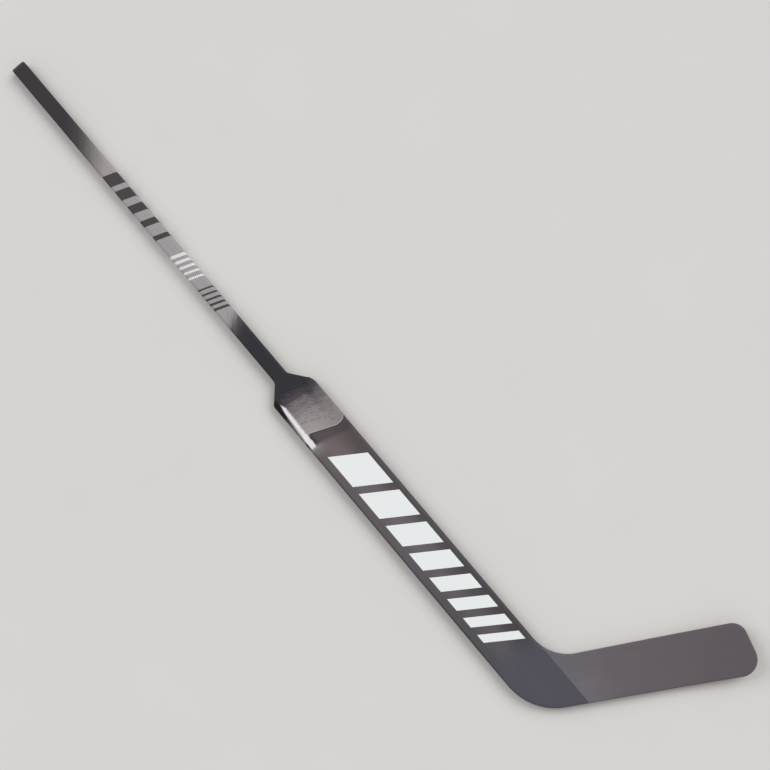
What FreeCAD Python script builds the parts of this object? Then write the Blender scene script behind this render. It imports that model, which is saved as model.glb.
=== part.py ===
# Goalkeeper's ice hockey stick, moulded in one piece over foam, lying on its back.
# +X runs down the stick from butt to heel, +Y points to the blade's side, +Z is the face
# that meets the puck.  The origin is on the paddle's back face, on the shaft's centreline,
# where the shoulder reaches the paddle's full width.  Lengths are in millimetres.
import FreeCAD, Part
import Sketcher
import math
import os
import re

SIZES = {
    # Shaft: a hollow tube that goes on inside the paddle as its spar
    "shaft_reach": 776,
    "shaft_width": 28,
    "stick_thick": 21,
    "edge_round": 5,
    "shaft_wall": 2.2,
    "spar_wall": 2,
    "bore_land": 12,
    # Plug in the butt end
    "plug_cap": 4,
    "plug_cap_round": 1.5,
    "plug_depth": 36,
    "plug_gap": 0.8,
    "plug_wall": 1.8,
    "plug_floor": 3,
    "plug_rib": 1.6,
    "plug_rib_pitch": 9,
    "plug_rib_gap": 0.1,
    # Paddle, from the collar round the shaft to the corner of the heel
    "paddle_length": 691,
    "paddle_width": 86.5,
    "skin": 1.6,
    "glue": 0.1,
    "collar_reach": 10,
    "neck_reach": 43,
    "neck_round": 14,
    "heel_side_rise": 10.5,
    "heel_side_round": 6,
    "toe_side_rise": 4.5,
    "toe_side_round": 28,
    "heel_round": 104,
    "heel_block_reach": 131,
    "core_gap": 8,
    # Finger bevel on the shoulder's heel side
    "bevel_width": 9.5,
    "bevel_depth": 5.5,
    "bevel_reach": 85,
    # Grip panel on the shoulder
    "panel_lift": 0.6,
    "panel_margin": 0.6,
    "panel_top": 12,
    "panel_toe_side_reach": 92.3,
    "panel_heel_side_reach": 67.8,
    "panel_corner_inset": 14,
    "panel_corner_turn": 26.7,
    "panel_round": 25,
    "panel_inner_round": 5,
    "panel_leg_reach": 97,
    "panel_leg_inset": 3.7,
    "panel_leg_width": 11,
    "panel_leg_round": 2,
    # Blade, measured from the heel's corner along its sole
    "sole_angle": 60,
    "blade_length": 393.7,
    "blade_heel_height": 84.5,
    "blade_toe_height": 92,
    "crotch_round": 76,
    "toe_lean": 13,
    "toe_sole_round": 30,
    "toe_top_round": 25,
    "seam_reach": 12,
    "seam_tilt": 4.7,
    "taper_delay": 5,
    "ease_reach": 70,
    "ease_round": 2400,
    "toe_thick": 9.5,
    "toe_rise": 17,
    "blade_round": 3,
    # Tongue that joins the blade to the heel, and the web along the blade
    "tenon_root": 45,
    "tenon_reach": 67,
    "tenon_height": 40,
    "tenon_thick": 7,
    "tenon_round": 8,
    "spigot_reach": 45,
    "web_thick": 1.2,
    "web_toe_gap": 32,
    # How far every cutting solid runs past what it cuts
    "overrun": 20,
}
PLUG_RIBS = 3

doc = FreeCAD.newDocument("goalie_stick")
sheet = doc.addObject("Spreadsheet::Sheet", "Sizes")
for row, (alias, number) in enumerate(SIZES.items(), start=1):
    sheet.set(f"A{row}", alias)
    sheet.set(f"B{row}", str(number))
    sheet.setAlias(f"B{row}", alias)
doc.recompute()

# Formulas over the sizes that several pieces share
COLLAR = "-(neck_reach + collar_reach)"
BUTT = f"({COLLAR} - shaft_reach)"
INNER = "(skin + glue)"
SPAR_WIDTH = f"(shaft_width - 2 * {INNER})"
SPAR_THICK = f"(stick_thick - 2 * {INNER})"
BORE_WIDTH = "(shaft_width - 2 * shaft_wall)"
BORE_THICK = "(stick_thick - 2 * shaft_wall)"
SPAR_END = "(paddle_length - heel_block_reach)"
SPAR_BORE_WIDTH = f"({SPAR_WIDTH} - 2 * spar_wall)"
SPAR_BORE_THICK = f"({SPAR_THICK} - 2 * spar_wall)"
TOP_SLOPE = "((blade_toe_height - blade_heel_height) / blade_length)"
TOE_FOOT = "(blade_length + toe_sole_round * (1 / cos(toe_lean) + tan(toe_lean) - 1))"
TOE_TOP = f"((blade_heel_height + {TOP_SLOPE} * {TOE_FOOT}) / (1 + {TOP_SLOPE} * tan(toe_lean)))"
CROTCH = (f"((paddle_width - blade_heel_height * cos(sole_angle))"
          f" / (sin(sole_angle) + {TOP_SLOPE} * cos(sole_angle)))")
CROTCH_UP = f"(blade_heel_height + {TOP_SLOPE} * {CROTCH})"
BLADE_MIDDLE = "(blade_heel_height / 2)"
SEAM_LEAN = "(90 - sole_angle - seam_tilt)"
# The seam starts at its reach past the crotch, on the top edge, and leans down to the sole
SEAM_FOOT = f"({CROTCH} + seam_reach + {CROTCH_UP} * tan({SEAM_LEAN}))"
TAPER_START = f"({SEAM_FOOT} + taper_delay)"
TALL = "(4 * (stick_thick + toe_rise))"
FAR = "(paddle_length + blade_length)"
BEVEL_START = "(-heel_side_rise)"
BEVEL_SLOPE = "(bevel_depth / bevel_width)"


def in_sheet(formula):
    """The formula with every size's name pointing at its cell in the sheet."""
    return re.sub(r"[a-z_]+", lambda word: "Sizes." + word[0] if word[0] in SIZES else word[0],
                  formula)


def size(formula):
    """The formula's value now."""
    return float(sheet.evalExpression(in_sheet(formula)))


def bind(item, **formulas):
    """Tie an object's properties to formulas; two underscores stand for a dot."""
    for name, formula in formulas.items():
        item.setExpression(name.replace("__", "."), in_sheet(formula))


def on_blade(along, up):
    """Formulas for the X and Y of a point given along the sole from the heel and up from it."""
    across = f"paddle_length + ({along}) * cos(sole_angle) - ({up}) * sin(sole_angle)"
    ahead = f"-paddle_width / 2 + ({along}) * sin(sole_angle) + ({up}) * cos(sole_angle)"
    return across, ahead


BLADE_FRAME = "placement(vector({0}; {1}; {2}); rotation(sole_angle; 0; {3}))"
HEEL_CORNER = ("paddle_length", "-paddle_width / 2")


class Outline:
    """A closed run of straight sides with rounded corners, every size tied to the sheet."""

    def __init__(self, sketch, corners):
        self.sketch = sketch
        self.corners = corners
        self.points = [FreeCAD.Vector(size(x), size(y), 0) for x, y, _ in corners]
        self.arcs = [self.corner_arc(i) for i in range(len(corners))]
        self.draw()

    def corner_arc(self, index):
        """Where the round of one corner starts, ends and has its centre, and if it turns left."""
        radius_formula = self.corners[index][2]
        here = self.points[index]
        if radius_formula is None:
            return here, here, None, True
        radius = size(radius_formula)
        before = (here - self.points[index - 1]).normalize()
        after = (self.points[(index + 1) % len(self.points)] - here).normalize()
        left = before.cross(after).z > 0
        reach = radius * math.tan(before.getAngle(after) / 2)
        start = here - before * reach
        finish = here + after * reach
        side = FreeCAD.Vector(-before.y, before.x, 0) * (radius if left else -radius)
        return start, finish, start + side, left

    def add(self, *words):
        return self.sketch.addConstraint(Sketcher.Constraint(*words))

    def tie(self, constraint, formula):
        self.sketch.setExpression(f"Constraints[{constraint}]", in_sheet(formula))

    def draw(self):
        count = len(self.corners)
        sides = []
        for i in range(count):
            line = Part.LineSegment(self.arcs[i][1], self.arcs[(i + 1) % count][0])
            sides.append(self.sketch.addGeometry(line))
        for i, (x, y, radius_formula) in enumerate(self.corners):
            arriving = sides[i - 1]
            leaving = sides[i]
            if radius_formula is None:
                self.add("Coincident", arriving, 2, leaving, 1)
                self.place(leaving, i, x, y)
                continue
            start, finish, centre, left = self.arcs[i]
            ends = (start, finish) if left else (finish, start)
            angles = [math.atan2(p.y - centre.y, p.x - centre.x) for p in ends]
            circle = Part.Circle(centre, FreeCAD.Vector(0, 0, 1), size(radius_formula))
            arc = self.sketch.addGeometry(Part.ArcOfCircle(circle, *angles))
            corner = self.sketch.addGeometry(Part.Point(self.points[i]), True)
            self.add("Tangent", arriving, 2, arc, 1 if left else 2)
            self.add("Tangent", leaving, 1, arc, 2 if left else 1)
            self.add("PointOnObject", corner, 1, arriving)
            self.add("PointOnObject", corner, 1, leaving)
            self.place(corner, i, x, y)
            self.tie(self.add("Radius", arc, size(radius_formula)), radius_formula)

    def place(self, geometry, index, x, y):
        """Hold a corner at its distances from the sketch's origin."""
        point = self.points[index]
        self.tie(self.add("DistanceX", -1, 1, geometry, 1, point.x), x)
        self.tie(self.add("DistanceY", -1, 1, geometry, 1, point.y), y)


def free_sketch(name, frame=None):
    """A sketch that stands by itself on the XY plane, or in the frame given."""
    sketch = doc.addObject("Sketcher::SketchObject", name)
    if frame:
        bind(sketch, Placement=frame)
    return sketch


def extrude(name, base, length, symmetric=False, lift=None):
    """A solid drawn out square to a flat outline."""
    solid = doc.addObject("Part::Extrusion", name)
    solid.Base = base
    solid.DirMode = "Normal"
    solid.Solid = True
    solid.Symmetric = symmetric
    bind(solid, LengthFwd=length)
    if lift:
        bind(solid, Placement__Base__z=lift)
    return solid


def shrink(name, outline, inset):
    """An outline moved inwards all round."""
    ring = doc.addObject("Part::Offset2D", name)
    ring.Source = outline
    bind(ring, Value=f"-({inset})")
    return ring


def boolean(kind, name, base, tool):
    """Part::Cut, Part::Common or Part::Fuse of two solids."""
    solid = doc.addObject(f"Part::{kind}", name)
    if kind == "Fuse":
        solid.Refine = True
    solid.Base = base
    solid.Tool = tool
    return solid


def block(name, low, high):
    """A box between two corners given as formulas."""
    box = doc.addObject("Part::Box", name)
    spans = [f"({b}) - ({a})" for a, b in zip(low, high)]
    bind(box, Length=spans[0], Width=spans[1], Height=spans[2])
    bind(box, Placement__Base__x=low[0], Placement__Base__y=low[1], Placement__Base__z=low[2])
    return box


def body_named(name):
    return doc.addObject("PartDesign::Body", name)


def body_sketch(body, name, plane_role, offset="0"):
    """A sketch on one of the body's own origin planes, moved out along that plane's normal."""
    sketch = body.newObject("Sketcher::SketchObject", name)
    plane = next(p for p in body.Origin.OriginFeatures if p.Role == plane_role)
    sketch.AttachmentSupport = (plane, [""])
    sketch.MapMode = "FlatFace"
    bind(sketch, AttachmentOffset__Base__z=offset)
    return sketch


def section(body, name, offset, width, thick, corner):
    """A rounded rectangle across the shaft, centred on the stick's thickness."""
    sketch = body_sketch(body, name, "YZ_Plane", offset)
    low = f"(stick_thick - {thick}) / 2"
    high = f"(stick_thick + {thick}) / 2"
    Outline(sketch, [(f"-{width} / 2", low, corner), (f"{width} / 2", low, corner),
                     (f"{width} / 2", high, corner), (f"-{width} / 2", high, corner)])
    return sketch


def pad(body, name, profile, length, backwards=False):
    feature = body.newObject("PartDesign::Pad", name)
    feature.Profile = profile
    feature.Reversed = backwards
    bind(feature, Length=length)
    return feature


def pocket(body, name, profile, length, backwards=False):
    feature = body.newObject("PartDesign::Pocket", name)
    feature.Profile = profile
    feature.Reversed = backwards
    bind(feature, Length=length)
    return feature


def rim_edges(shape, keep):
    """Numbers of the edges that run round the outline, front and back, where keep allows them."""
    numbers = []
    for number, edge in enumerate(shape.Edges, start=1):
        middle = edge.valueAt((edge.FirstParameter + edge.LastParameter) / 2)
        ends = [v.Point for v in edge.Vertexes]
        upright = max(p.z for p in ends) - min(p.z for p in ends) > size("toe_thick") / 2
        if keep(middle) and not (upright and middle.z < size("stick_thick")):
            numbers.append(number)
    return numbers


def seam_distance(point):
    """How far a point lies from the seam, towards the blade."""
    x, y = (size(f) for f in on_blade(SEAM_FOOT, "0"))
    tilt = math.radians(size("seam_tilt"))
    return (point.x - x) * math.sin(tilt) + (point.y - y) * math.cos(tilt)


def off_cut_ends(point):
    """True away from the two cut ends of the paddle: the seam and the collar."""
    near = size("glue")
    return abs(seam_distance(point)) > near and abs(point.x - size(COLLAR)) > near


def stick_outline():
    """The whole stick seen on its face, from the collar round the paddle and blade."""
    half = "shaft_width / 2"
    edge = "paddle_width / 2"
    neck_end = f"{COLLAR} - overrun"
    toe_top_along = f"{TOE_FOOT} - {TOE_TOP} * tan(toe_lean)"
    sketch = free_sketch("stick_outline")
    Outline(sketch, [
        (neck_end, f"-{half}", None),
        ("-neck_reach", f"-{half}", "neck_round"),
        ("-heel_side_rise", f"-{edge}", "heel_side_round"),
        (*HEEL_CORNER, "heel_round"),
        (*on_blade(TOE_FOOT, "0"), "toe_sole_round"),
        (*on_blade(toe_top_along, TOE_TOP), "toe_top_round"),
        (*on_blade(CROTCH, CROTCH_UP), "crotch_round"),
        ("-toe_side_rise", edge, "toe_side_round"),
        ("-neck_reach", half, "neck_round"),
        (neck_end, half, None),
    ])
    return sketch


def seam_zone():
    """Everything on the blade's side of the seam between heel and blade."""
    x, y = on_blade(SEAM_FOOT, "0")
    along = (f"{FAR} * cos(seam_tilt)", f"{FAR} * sin(seam_tilt)")
    sketch = free_sketch("seam_line")
    Outline(sketch, [
        (f"{x} - {along[0]}", f"{y} + {along[1]}", None),
        (f"{x} + {along[0]}", f"{y} - {along[1]}", None),
        (f"{x} + {along[0]} + {along[1]}", f"{y} - {along[1]} + {along[0]}", None),
        (f"{x} - {along[0]} + {along[1]}", f"{y} + {along[1]} + {along[0]}", None),
    ])
    return extrude("seam_zone", sketch, TALL, symmetric=True)


def bevel_cutter(name, sink):
    """What lies above the shoulder's bevel; the bevel's plane is sunk by a wall's thickness."""
    body = body_named(name)
    lean = f"sqrt(1 + {BEVEL_SLOPE} ^ 2)"
    outside = "(-paddle_width / 2 - overrun)"
    inside = "(-paddle_width / 2 + bevel_width + overrun)"
    sections = []
    for spot, start in (("top", f"{COLLAR}"), ("end", "bevel_reach + overrun")):
        gone = f"(({start} - {BEVEL_START}) / (bevel_reach - {BEVEL_START}))"
        ridge = f"(-paddle_width / 2 + bevel_width * (1 - {gone}))"
        sketch = body_sketch(body, f"{name}_{spot}", "YZ_Plane", start)
        level = f"stick_thick - ({sink}) * {lean} + {BEVEL_SLOPE}"
        roof = f"stick_thick + {BEVEL_SLOPE} * (bevel_width + paddle_width) + overrun"
        Outline(sketch, [(outside, f"{level} * ({outside} - {ridge})", None),
                         (inside, f"{level} * ({inside} - {ridge})", None),
                         (inside, roof, None), (outside, roof, None)])
        sections.append(sketch)
    loft = body.newObject("PartDesign::AdditiveLoft", f"{name}_loft")
    loft.Profile = sections[0]
    loft.Sections = [sections[1]]
    loft.Ruled = True
    return body


def bends_inwards(edge, solid):
    """True for an arc of the rim whose centre lies outside the solid."""
    if edge.Curve.TypeId != "Part::GeomCircle":
        return False
    middle = edge.valueAt((edge.FirstParameter + edge.LastParameter) / 2)
    towards_centre = (edge.Curve.Center - middle).normalize() * size("skin")
    level = FreeCAD.Vector(0, 0, size("stick_thick / 2") - middle.z)
    return not solid.isInside(middle + towards_centre + level, size("glue"), True)


def rounded(name, blank, radius_at):
    """The blank with its rim rounded; radius_at gives the round at a point of the rim."""
    doc.recompute()
    solid = blank.Shape
    rounds = []
    for number in rim_edges(solid, off_cut_ends):
        edge = solid.Edges[number - 1]
        ends = [edge.valueAt(edge.FirstParameter), edge.valueAt(edge.LastParameter)]
        if bends_inwards(edge, solid):
            ends.reverse()
        rounds.append((number, radius_at(ends[0]), radius_at(ends[1])))
    # A run of edges takes its direction from the first one named, so the straight ones go first
    rounds.sort(key=lambda one: solid.Edges[one[0] - 1].Curve.TypeId != "Part::GeomLine")
    fillet = doc.addObject("Part::Fillet", name)
    fillet.Base = blank
    fillet.Edges = rounds
    return fillet


def paddle_round(point):
    """The paddle's edge round, easing to the blade's round where the heel leaves the straight."""
    straight = abs(abs(point.y) - size("paddle_width / 2")) < size("glue")
    return size("edge_round" if straight or point.x < 0 else "blade_round")


def paddle_solid(name, outline, seam, inset):
    """The paddle up to the seam with rounded edges and its bevel, inset all round."""
    ring = shrink(f"{name}_ring", outline, inset) if inset != "0" else outline
    prism = extrude(f"{name}_prism", ring, f"stick_thick - 2 * ({inset})", lift=inset)
    blank = boolean("Cut", f"{name}_blank", prism, seam)
    if inset == "0":
        above = block(f"{name}_above", (f"{COLLAR} - 2 * overrun", "-shaft_width", "-overrun"),
                      (COLLAR, "shaft_width", "stick_thick + overrun"))
        blank = boolean("Cut", f"{name}_trimmed", blank, above)
    inner_round = size(f"edge_round - {inset}")
    radius_at = paddle_round if inset == "0" else lambda point: inner_round
    soft = rounded(f"{name}_rounded", blank, radius_at)
    return boolean("Cut", f"{name}_solid", soft, bevel_cutter(f"{name}_bevel", inset))


def front_zone():
    """Everything in front of the paddle's middle plane."""
    return block("front_zone", (f"{COLLAR} - overrun", "-paddle_width", "stick_thick / 2"),
                 (FAR, "paddle_width", "stick_thick + overrun"))


def make_shaft():
    """Tube with a wide bore down to the collar, then the narrower spar inside the paddle."""
    body = body_named("shaft_tube")
    spar_corner = f"(edge_round - {INNER})"
    spar_length = f"{SPAR_END} - ({COLLAR})"
    outer = section(body, "shaft_section", COLLAR, "shaft_width", "stick_thick", "edge_round")
    pad(body, "shaft", outer, "shaft_reach", backwards=True)
    spar = section(body, "spar_section", COLLAR, SPAR_WIDTH, SPAR_THICK, spar_corner)
    pad(body, "spar", spar, spar_length)
    bore = section(body, "bore_section", BUTT, BORE_WIDTH, BORE_THICK, "edge_round - shaft_wall")
    pocket(body, "shaft_bore", bore, "shaft_reach - bore_land", backwards=True)
    narrow = section(body, "spar_bore_section", SPAR_END, SPAR_BORE_WIDTH, SPAR_BORE_THICK,
                     f"{spar_corner} - spar_wall")
    pocket(body, "spar_bore", narrow, f"{spar_length} + bore_land + overrun")
    return body


def make_plug():
    """Butt plug: a cap flush with the shaft and a hollow ribbed stem inside the bore."""
    body = body_named("end_plug")
    stem = (f"({BORE_WIDTH} - 2 * plug_gap)", f"({BORE_THICK} - 2 * plug_gap)")
    ring = (f"({BORE_WIDTH} - 2 * plug_rib_gap)", f"({BORE_THICK} - 2 * plug_rib_gap)")
    cup = (f"({stem[0]} - 2 * plug_wall)", f"({stem[1]} - 2 * plug_wall)")
    corner = "edge_round - shaft_wall"
    cap = pad(body, "cap", section(body, "cap_section", BUTT, "shaft_width", "stick_thick",
                                   "edge_round"), "plug_cap", backwards=True)
    doc.recompute()
    outer_face = min(cap.Shape.Faces, key=lambda face: face.CenterOfMass.x)
    rim = [n for n, edge in enumerate(cap.Shape.Edges, start=1)
           if any(edge.isSame(other) for other in outer_face.Edges)]
    soft = body.newObject("PartDesign::Fillet", "cap_rounds")
    soft.Base = (cap, [f"Edge{n}" for n in rim])
    bind(soft, Radius="plug_cap_round")
    pad(body, "stem", section(body, "stem_section", BUTT, *stem, f"{corner} - plug_gap"), "plug_depth")
    rib = pad(body, "rib", section(body, "rib_section", f"{BUTT} + plug_rib_pitch", *ring,
                                   f"{corner} - plug_rib_gap"), "plug_rib")
    doc.recompute()
    ribs = body.newObject("PartDesign::LinearPattern", "ribs")
    ribs.Originals = [rib]
    ribs.Direction = (next(a for a in body.Origin.OriginFeatures if a.Role == "X_Axis"), [""])
    ribs.Occurrences = PLUG_RIBS
    bind(ribs, Length=f"plug_rib_pitch * {PLUG_RIBS - 1}")
    body.Tip = ribs
    hollow = section(body, "cup_section", f"{BUTT} + plug_depth", *cup, f"({corner} - plug_gap) / 2")
    pocket(body, "cup", hollow, "plug_depth - plug_floor")
    return body


def make_paddle_shells(outline, seam, form):
    """Front and back skins of the paddle, shoulder and heel, parted on the middle plane."""
    hollow = paddle_solid("paddle_hollow", outline, seam, "skin")
    wall = boolean("Cut", "paddle_wall", form, hollow)
    front = front_zone()
    return (boolean("Common", "paddle_front_shell", wall, front),
            boolean("Cut", "paddle_back_shell", wall, front))


def make_paddle_filling(outline, seam, slot):
    """Foam on both sides of the spar, and the block in the heel that takes spar and blade."""
    filling = paddle_solid("filling", outline, seam, INNER)
    low = f"-{TALL}"
    slot_side = "(shaft_width / 2 - skin)"
    heel_zone = block("heel_zone", (SPAR_END, "-paddle_width", low), (FAR, FAR, TALL))
    core_start = "-(neck_reach - core_gap)"
    heel_side = block("heel_side_zone", (core_start, "-paddle_width", low),
                      (SPAR_END, f"-{slot_side}", TALL))
    toe_side = block("toe_side_zone", (core_start, slot_side, low), (SPAR_END, "paddle_width", TALL))
    spigot_body = body_named("spigot")
    spigot = (f"({SPAR_BORE_WIDTH} - 2 * glue)", f"({SPAR_BORE_THICK} - 2 * glue)")
    spigot_section = section(spigot_body, "spigot_section", SPAR_END, *spigot,
                             f"(edge_round - {INNER} - spar_wall)")
    pad(spigot_body, "spigot_pad", spigot_section, "spigot_reach", backwards=True)
    lump = boolean("Common", "heel_lump", filling, heel_zone)
    joined = boolean("Fuse", "heel_with_spigot", lump, spigot_body)
    return (boolean("Common", "paddle_core_heel_side", filling, heel_side),
            boolean("Common", "paddle_core_toe_side", filling, toe_side),
            boolean("Cut", "heel_block", joined, slot))


def make_grip_panel(outline, seam, form):
    """Thin raised panel on the shoulder, wrapped round its toe side, with a slanting foot and a leg."""
    grown = paddle_solid("panel_form", outline, seam, "-panel_lift")
    sheet_solid = boolean("Cut", "panel_sheet", grown, form)
    corner = "(paddle_width / 2 - panel_corner_inset)"
    past_edge = "(paddle_width / 2 + overrun)"
    foot_end = "panel_toe_side_reach - (panel_corner_inset + overrun) * tan(panel_corner_turn)"

    def bevel_edge(x):
        gone = f"(({x} - {BEVEL_START}) / (bevel_reach - {BEVEL_START}))"
        return f"(-paddle_width / 2 + panel_margin + bevel_width * (1 - {gone}))"

    # The leg's outer side starts where the bevel has narrowed to the leg's inset
    leg_outside = "(-paddle_width / 2 + panel_leg_inset)"
    leg_inside = f"({leg_outside} + panel_leg_width)"
    leg_share = "(1 - (panel_leg_inset - panel_margin) / bevel_width)"
    leg_start = f"({BEVEL_START} + (bevel_reach - {BEVEL_START}) * {leg_share})"
    sketch = free_sketch("panel_zone_outline")
    Outline(sketch, [
        ("-panel_top", bevel_edge("-panel_top"), None),
        (leg_start, leg_outside, None),
        ("panel_leg_reach", leg_outside, "panel_leg_round"),
        ("panel_leg_reach", leg_inside, "panel_leg_round"),
        ("panel_heel_side_reach", leg_inside, "panel_inner_round"),
        ("panel_toe_side_reach", corner, "panel_round"),
        (foot_end, past_edge, None),
        ("-panel_top", past_edge, None),
    ])
    zone = extrude("panel_zone", sketch, TALL, lift="stick_thick / 2")
    return boolean("Common", "shoulder_grip_panel", sheet_solid, zone)


class BladeSide:
    """The blade seen along its height: flat at the heel, then tapering and curving forward."""

    def __init__(self):
        end = size(TOE_FOOT)
        start = size(TAPER_START)
        thick = size("stick_thick")
        middle = thick / 2 + size("toe_rise")
        self.start = FreeCAD.Vector(start, 0, 0)
        self.back_end = FreeCAD.Vector(end, middle - size("toe_thick") / 2, 0)
        self.middle_end = FreeCAD.Vector(end, middle, 0)
        self.front_end = FreeCAD.Vector(end, middle + size("toe_thick") / 2, 0)

    def rising_arc(self, first, last):
        """Arc that leaves first level and rises to last."""
        run = last.x - first.x
        rise = last.y - first.y
        radius = (run ** 2 + rise ** 2) / (2 * rise)
        centre = FreeCAD.Vector(first.x, first.y + radius, 0)
        circle = Part.Circle(centre, FreeCAD.Vector(0, 0, 1), radius)
        turn = math.atan2(run, radius - rise)
        return Part.ArcOfCircle(circle, -math.pi / 2, -math.pi / 2 + turn)

    def front_arcs(self):
        """The face eases back from level, then curves forward to the toe."""
        top = FreeCAD.Vector(self.start.x, size("stick_thick"), 0)
        ease = size("ease_round")
        turn = math.asin(size("ease_reach") / ease)
        low_centre = FreeCAD.Vector(top.x, top.y - ease, 0)
        easing = Part.ArcOfCircle(Part.Circle(low_centre, FreeCAD.Vector(0, 0, 1), ease),
                                  math.pi / 2 - turn, math.pi / 2)
        upward = FreeCAD.Vector(math.sin(turn), math.cos(turn), 0)
        meeting = low_centre + upward * ease
        chord = self.front_end - meeting
        radius = chord.dot(chord) / (2 * chord.dot(upward))
        centre = meeting + upward * radius
        angles = [math.atan2(p.y - centre.y, p.x - centre.x) for p in (meeting, self.front_end)]
        curving = Part.ArcOfCircle(Part.Circle(centre, FreeCAD.Vector(0, 0, 1), radius), *angles)
        return easing, curving

    def frame(self):
        return BLADE_FRAME.format(*HEEL_CORNER, "0", "90")


def hold(sketch, geometry, end, x=None, y=None):
    """Hold one end of a line or arc at its distances from the sketch's origin."""
    for kind, formula in (("DistanceX", x), ("DistanceY", y)):
        if formula is not None:
            rule = Sketcher.Constraint(kind, -1, 1, geometry, end, size(formula))
            sketch.setExpression(f"Constraints[{sketch.addConstraint(rule)}]", in_sheet(formula))


def blade_profile(side):
    """Closed outline between the blade's back and face."""
    sketch = free_sketch("blade_profile", side.frame())
    thick = size("stick_thick")
    origin = FreeCAD.Vector(0, 0, 0)
    top = FreeCAD.Vector(0, thick, 0)
    face_start = FreeCAD.Vector(side.start.x, thick, 0)
    easing, curving = side.front_arcs()
    shapes = [Part.LineSegment(origin, side.start), side.rising_arc(side.start, side.back_end),
              Part.LineSegment(side.back_end, side.front_end), curving, easing,
              Part.LineSegment(face_start, top), Part.LineSegment(top, origin)]
    flat_back, back, toe, front, ease, flat_front, root = (sketch.addGeometry(s) for s in shapes)
    rules = [("Tangent", flat_back, 2, back, 1), ("Coincident", back, 2, toe, 1),
             ("Coincident", toe, 2, front, 2), ("Tangent", front, 1, ease, 1),
             ("Tangent", ease, 2, flat_front, 1), ("Coincident", flat_front, 2, root, 1),
             ("Coincident", root, 2, flat_back, 1), ("Horizontal", flat_back),
             ("Horizontal", flat_front), ("Vertical", toe), ("Vertical", root),
             ("Coincident", flat_back, 1, -1, 1)]
    for rule in rules:
        sketch.addConstraint(Sketcher.Constraint(*rule))
    middle = "stick_thick / 2 + toe_rise"
    hold(sketch, flat_back, 2, x=TAPER_START)
    hold(sketch, flat_front, 1, x=TAPER_START, y="stick_thick")
    hold(sketch, toe, 1, x=TOE_FOOT, y=f"{middle} - toe_thick / 2")
    hold(sketch, toe, 2, y=f"{middle} + toe_thick / 2")
    hold(sketch, ease, 1, x=f"{TAPER_START} + ease_reach")
    radius = sketch.addConstraint(Sketcher.Constraint("Radius", ease, size("ease_round")))
    sketch.setExpression(f"Constraints[{radius}]", in_sheet("ease_round"))
    return sketch


def blade_front_zone(side):
    """Everything in front of the curved surface midway through the blade."""
    sketch = free_sketch("blade_parting", side.frame())
    level = size("stick_thick / 2")
    roof = size(TALL)
    points = [FreeCAD.Vector(0, level, 0), FreeCAD.Vector(side.start.x, level, 0), side.middle_end,
              FreeCAD.Vector(side.middle_end.x, roof, 0), FreeCAD.Vector(0, roof, 0)]
    shapes = [Part.LineSegment(points[0], points[1]), side.rising_arc(points[1], points[2]),
              Part.LineSegment(points[2], points[3]), Part.LineSegment(points[3], points[4]),
              Part.LineSegment(points[4], points[0])]
    flat, curve, toe, top, root = (sketch.addGeometry(s) for s in shapes)
    rules = [("Tangent", flat, 2, curve, 1), ("Coincident", curve, 2, toe, 1),
             ("Coincident", toe, 2, top, 1), ("Coincident", top, 2, root, 1),
             ("Coincident", root, 2, flat, 1), ("Horizontal", flat), ("Vertical", toe),
             ("Horizontal", top), ("Vertical", root), ("PointOnObject", flat, 1, -2)]
    for rule in rules:
        sketch.addConstraint(Sketcher.Constraint(*rule))
    hold(sketch, flat, 2, x=TAPER_START, y="stick_thick / 2")
    hold(sketch, toe, 1, x=TOE_FOOT, y="stick_thick / 2 + toe_rise")
    hold(sketch, toe, 2, y=TALL)
    return extrude("blade_front_zone", sketch, FAR, symmetric=True)


def blade_solid(name, outline, seam, profile, inset):
    """The blade beyond the seam, inset all round."""
    ring = shrink(f"{name}_ring", outline, inset) if inset != "0" else outline
    side = shrink(f"{name}_side", profile, inset) if inset != "0" else profile
    prism = extrude(f"{name}_prism", ring, TALL, symmetric=True)
    beyond = boolean("Common", f"{name}_beyond", prism, seam)
    wedge = extrude(f"{name}_wedge", side, FAR, symmetric=True)
    return boolean("Common", f"{name}_solid", beyond, wedge)


def make_blade_shells(outline, seam, profile, side):
    """Face and back skins of the blade, parted midway through its thickness."""
    blank = blade_solid("blade", outline, seam, profile, "0")
    form = rounded("blade_rounded", blank, lambda point: size("blade_round"))
    hollow = blade_solid("blade_hollow", outline, seam, profile, "skin")
    wall = boolean("Cut", "blade_wall", form, hollow)
    front = blade_front_zone(side)
    return (boolean("Common", "blade_front_shell", wall, front),
            boolean("Cut", "blade_back_shell", wall, front))


TENON_SEAM = f"({SEAM_FOOT} - {BLADE_MIDDLE} * tan({SEAM_LEAN}))"
TENON_END = f"({TENON_SEAM} + tenon_reach)"


def tongue(name, extra):
    """The tongue through the seam, or its slot when extra room is given all round."""
    frame = BLADE_FRAME.format(*HEEL_CORNER, f"stick_thick / 2 - tenon_thick / 2 - ({extra})", "0")
    sketch = free_sketch(f"{name}_outline", frame)
    ends = (f"{TENON_SEAM} - tenon_root - ({extra})", f"{TENON_END} + ({extra})")
    half = f"(tenon_height / 2 + {extra})"
    low = f"{BLADE_MIDDLE} - {half}"
    high = f"{BLADE_MIDDLE} + {half}"
    corner = f"tenon_round + ({extra})"
    Outline(sketch, [(ends[0], low, corner), (ends[1], low, corner),
                     (ends[1], high, corner), (ends[0], high, corner)])
    return extrude(name, sketch, f"tenon_thick + 2 * ({extra})")


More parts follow.
